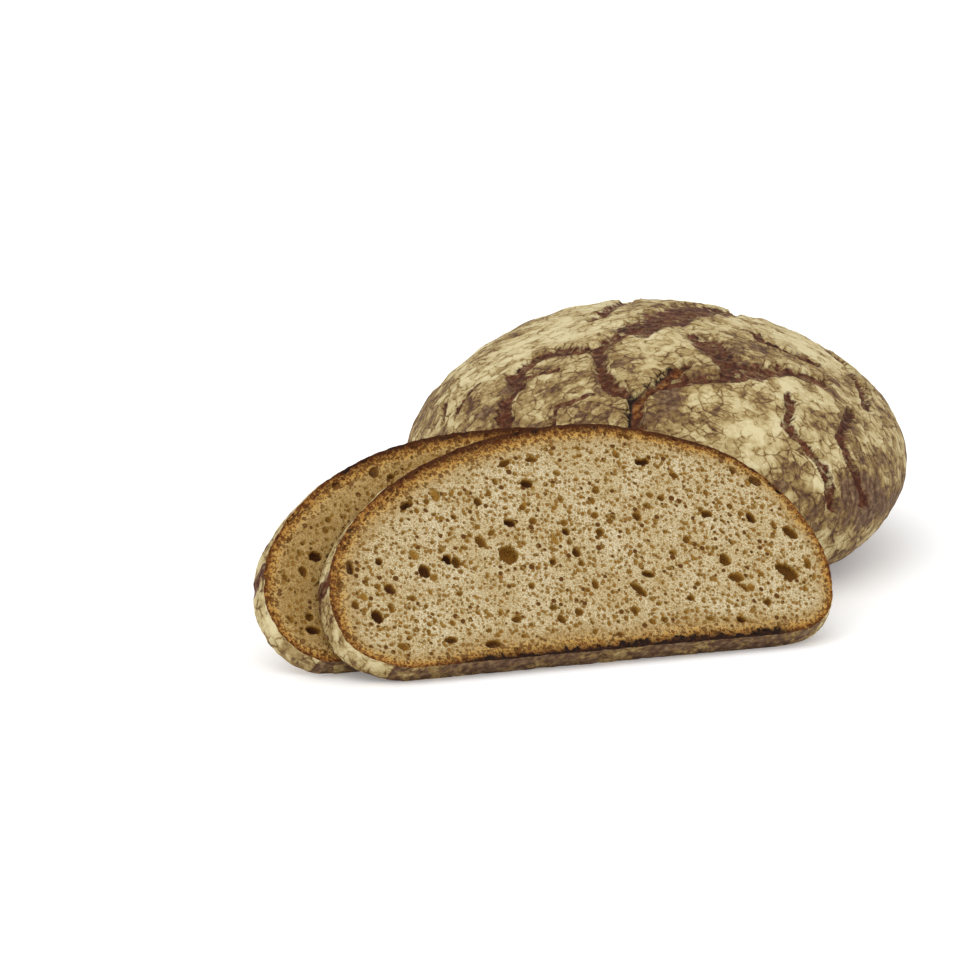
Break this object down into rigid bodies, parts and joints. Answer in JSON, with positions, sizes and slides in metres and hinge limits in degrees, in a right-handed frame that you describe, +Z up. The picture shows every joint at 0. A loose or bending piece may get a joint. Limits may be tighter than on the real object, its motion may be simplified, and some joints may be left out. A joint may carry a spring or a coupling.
{
  "type": "sliced farmhouse bread loaf",
  "caption": "Oval floured farmhouse rye loaf with a burst, cracked crust, and cut slices of its open crumb leaning against it.",
  "frame": {"origin": "under the middle of the whole group's box, on the table", "axes": "+Z up, +X to the viewer's right along the picture, +Y away from the viewer, from the front slice to the back of the loaf"},
  "size_m": [0.3276, 0.4695, 0.1236],
  "materials": {
    "floured_crust": "matte brown crust dusted with pale rye flour",
    "rye_crumb": "matte greyish tan open crumb with a brown crust rim"
  },
  "bodies": {
    "root": {"loaf": "floured_crust", "slice_front": "rye_crumb", "slice_back": "rye_crumb"}
  },
  "joints": []
}
